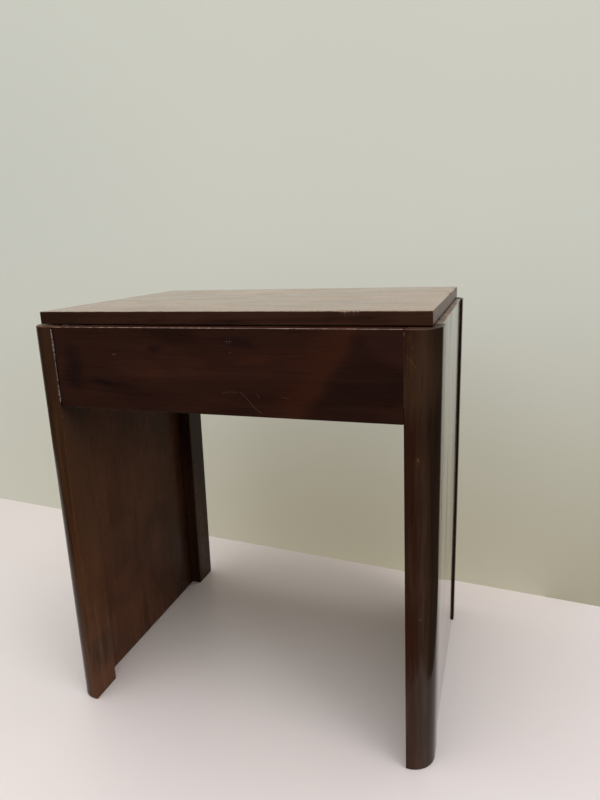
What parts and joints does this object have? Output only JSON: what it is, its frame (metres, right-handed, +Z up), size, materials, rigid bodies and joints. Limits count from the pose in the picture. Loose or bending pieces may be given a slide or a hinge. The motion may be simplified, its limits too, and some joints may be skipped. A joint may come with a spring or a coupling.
{
  "type": "sewing table",
  "caption": "Small sewing table with a hinged lid over a shallow work box, on two panelled ends with rounded corner posts.",
  "frame": {"origin": "on the floor, under the middle of the table's footprint", "axes": "+X to the right along the front, +Y to the rear, +Z up"},
  "size_m": [0.45, 0.33, 0.493],
  "materials": {
    "stained_wood": "dark stained hardwood, gloss varnish",
    "panel_wood": "dark stained veneered board, gloss varnish",
    "lid_wood": "dark stained board, gloss varnish, worn edges",
    "inside_wood": "plain planed softwood, unfinished",
    "plywood": "thin plywood, unfinished",
    "hinge_brass": "aged brass",
    "screw_steel": "dull steel",
    "buffer_felt": "thin felt"
  },
  "bodies": {
    "carcass": {"front_left_post": "stained_wood", "front_right_post": "stained_wood", "rear_left_post": "stained_wood", "rear_right_post": "stained_wood", "left_end_panel": "panel_wood", "right_end_panel": "panel_wood", "front_apron": "stained_wood", "rear_apron": "stained_wood", "box_floor": "plywood", "floor_pins": "screw_steel", "front_floor_bearer": "inside_wood", "rear_floor_bearer": "inside_wood", "left_floor_bearer": "inside_wood", "right_floor_bearer": "inside_wood", "front_bearer_screws": "screw_steel", "rear_bearer_screws": "screw_steel", "left_bearer_screws": "screw_steel", "right_bearer_screws": "screw_steel", "lid_buffers": "buffer_felt", "left_hinge_body_leaf": "hinge_brass", "right_hinge_body_leaf": "hinge_brass", "left_hinge_pin": "hinge_brass", "right_hinge_pin": "hinge_brass", "left_hinge_body_screws": "hinge_brass", "right_hinge_body_screws": "hinge_brass"},
    "lid": {"lid_board": "lid_wood", "left_lid_batten": "inside_wood", "right_lid_batten": "inside_wood", "left_batten_screws": "screw_steel", "right_batten_screws": "screw_steel", "left_hinge_lid_leaf": "hinge_brass", "right_hinge_lid_leaf": "hinge_brass", "left_hinge_lid_screws": "hinge_brass", "right_hinge_lid_screws": "hinge_brass"}
  },
  "joints": [
    {"name": "lid_hinge", "type": "hinge", "parent": "carcass", "child": "lid", "pos_m": [0, 0.1535, 0.4785], "axis": [-1, 0, 0], "range_deg": [0, 102]}
  ]
}
